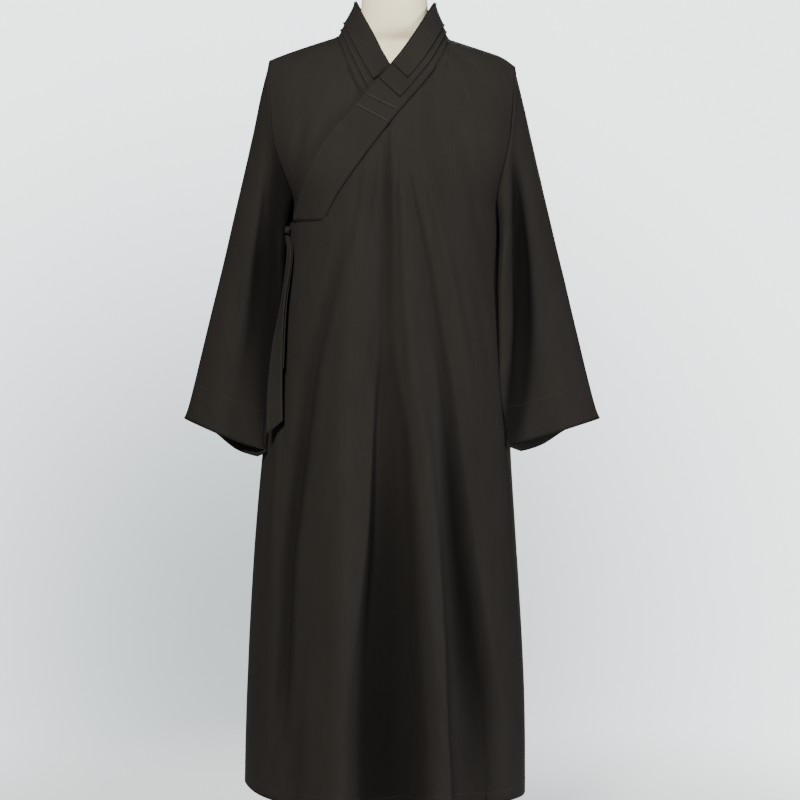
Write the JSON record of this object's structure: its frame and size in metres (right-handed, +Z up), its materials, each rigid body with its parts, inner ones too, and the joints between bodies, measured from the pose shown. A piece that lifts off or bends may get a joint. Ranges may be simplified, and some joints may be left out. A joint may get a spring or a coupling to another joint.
{
  "type": "buddhist monk robe on a dress form",
  "caption": "Long dark cross-collared monk's robe with wide sleeves, side slits and a side tie, worn closed on a limbless dress form with a pole and round base.",
  "frame": {"origin": "on the floor, at the middle of the stand's base underside, under the pole", "axes": "+Z up along the pole; the robe faces -Y; +X to the wearer's left"},
  "size_m": [0.728, 0.3642, 1.572],
  "materials": {
    "robe_cloth": "matte, lightly brushed plain weave",
    "form_jersey": "smooth stretched jersey",
    "stand_metal": "satin"
  },
  "bodies": {
    "root": {"front_outer": "robe_cloth", "front_inner": "robe_cloth", "back": "robe_cloth", "sleeve_right": "robe_cloth", "sleeve_left": "robe_cloth", "collar_band": "robe_cloth", "collar_layer_mid": "robe_cloth", "collar_layer_top": "robe_cloth", "collar_bar_upper": "robe_cloth", "collar_bar_lower": "robe_cloth", "tie_knot": "robe_cloth", "tie_front": "robe_cloth", "tie_side": "robe_cloth", "dress_form": "form_jersey", "stand_pole": "stand_metal", "stand_base": "stand_metal"}
  },
  "joints": []
}
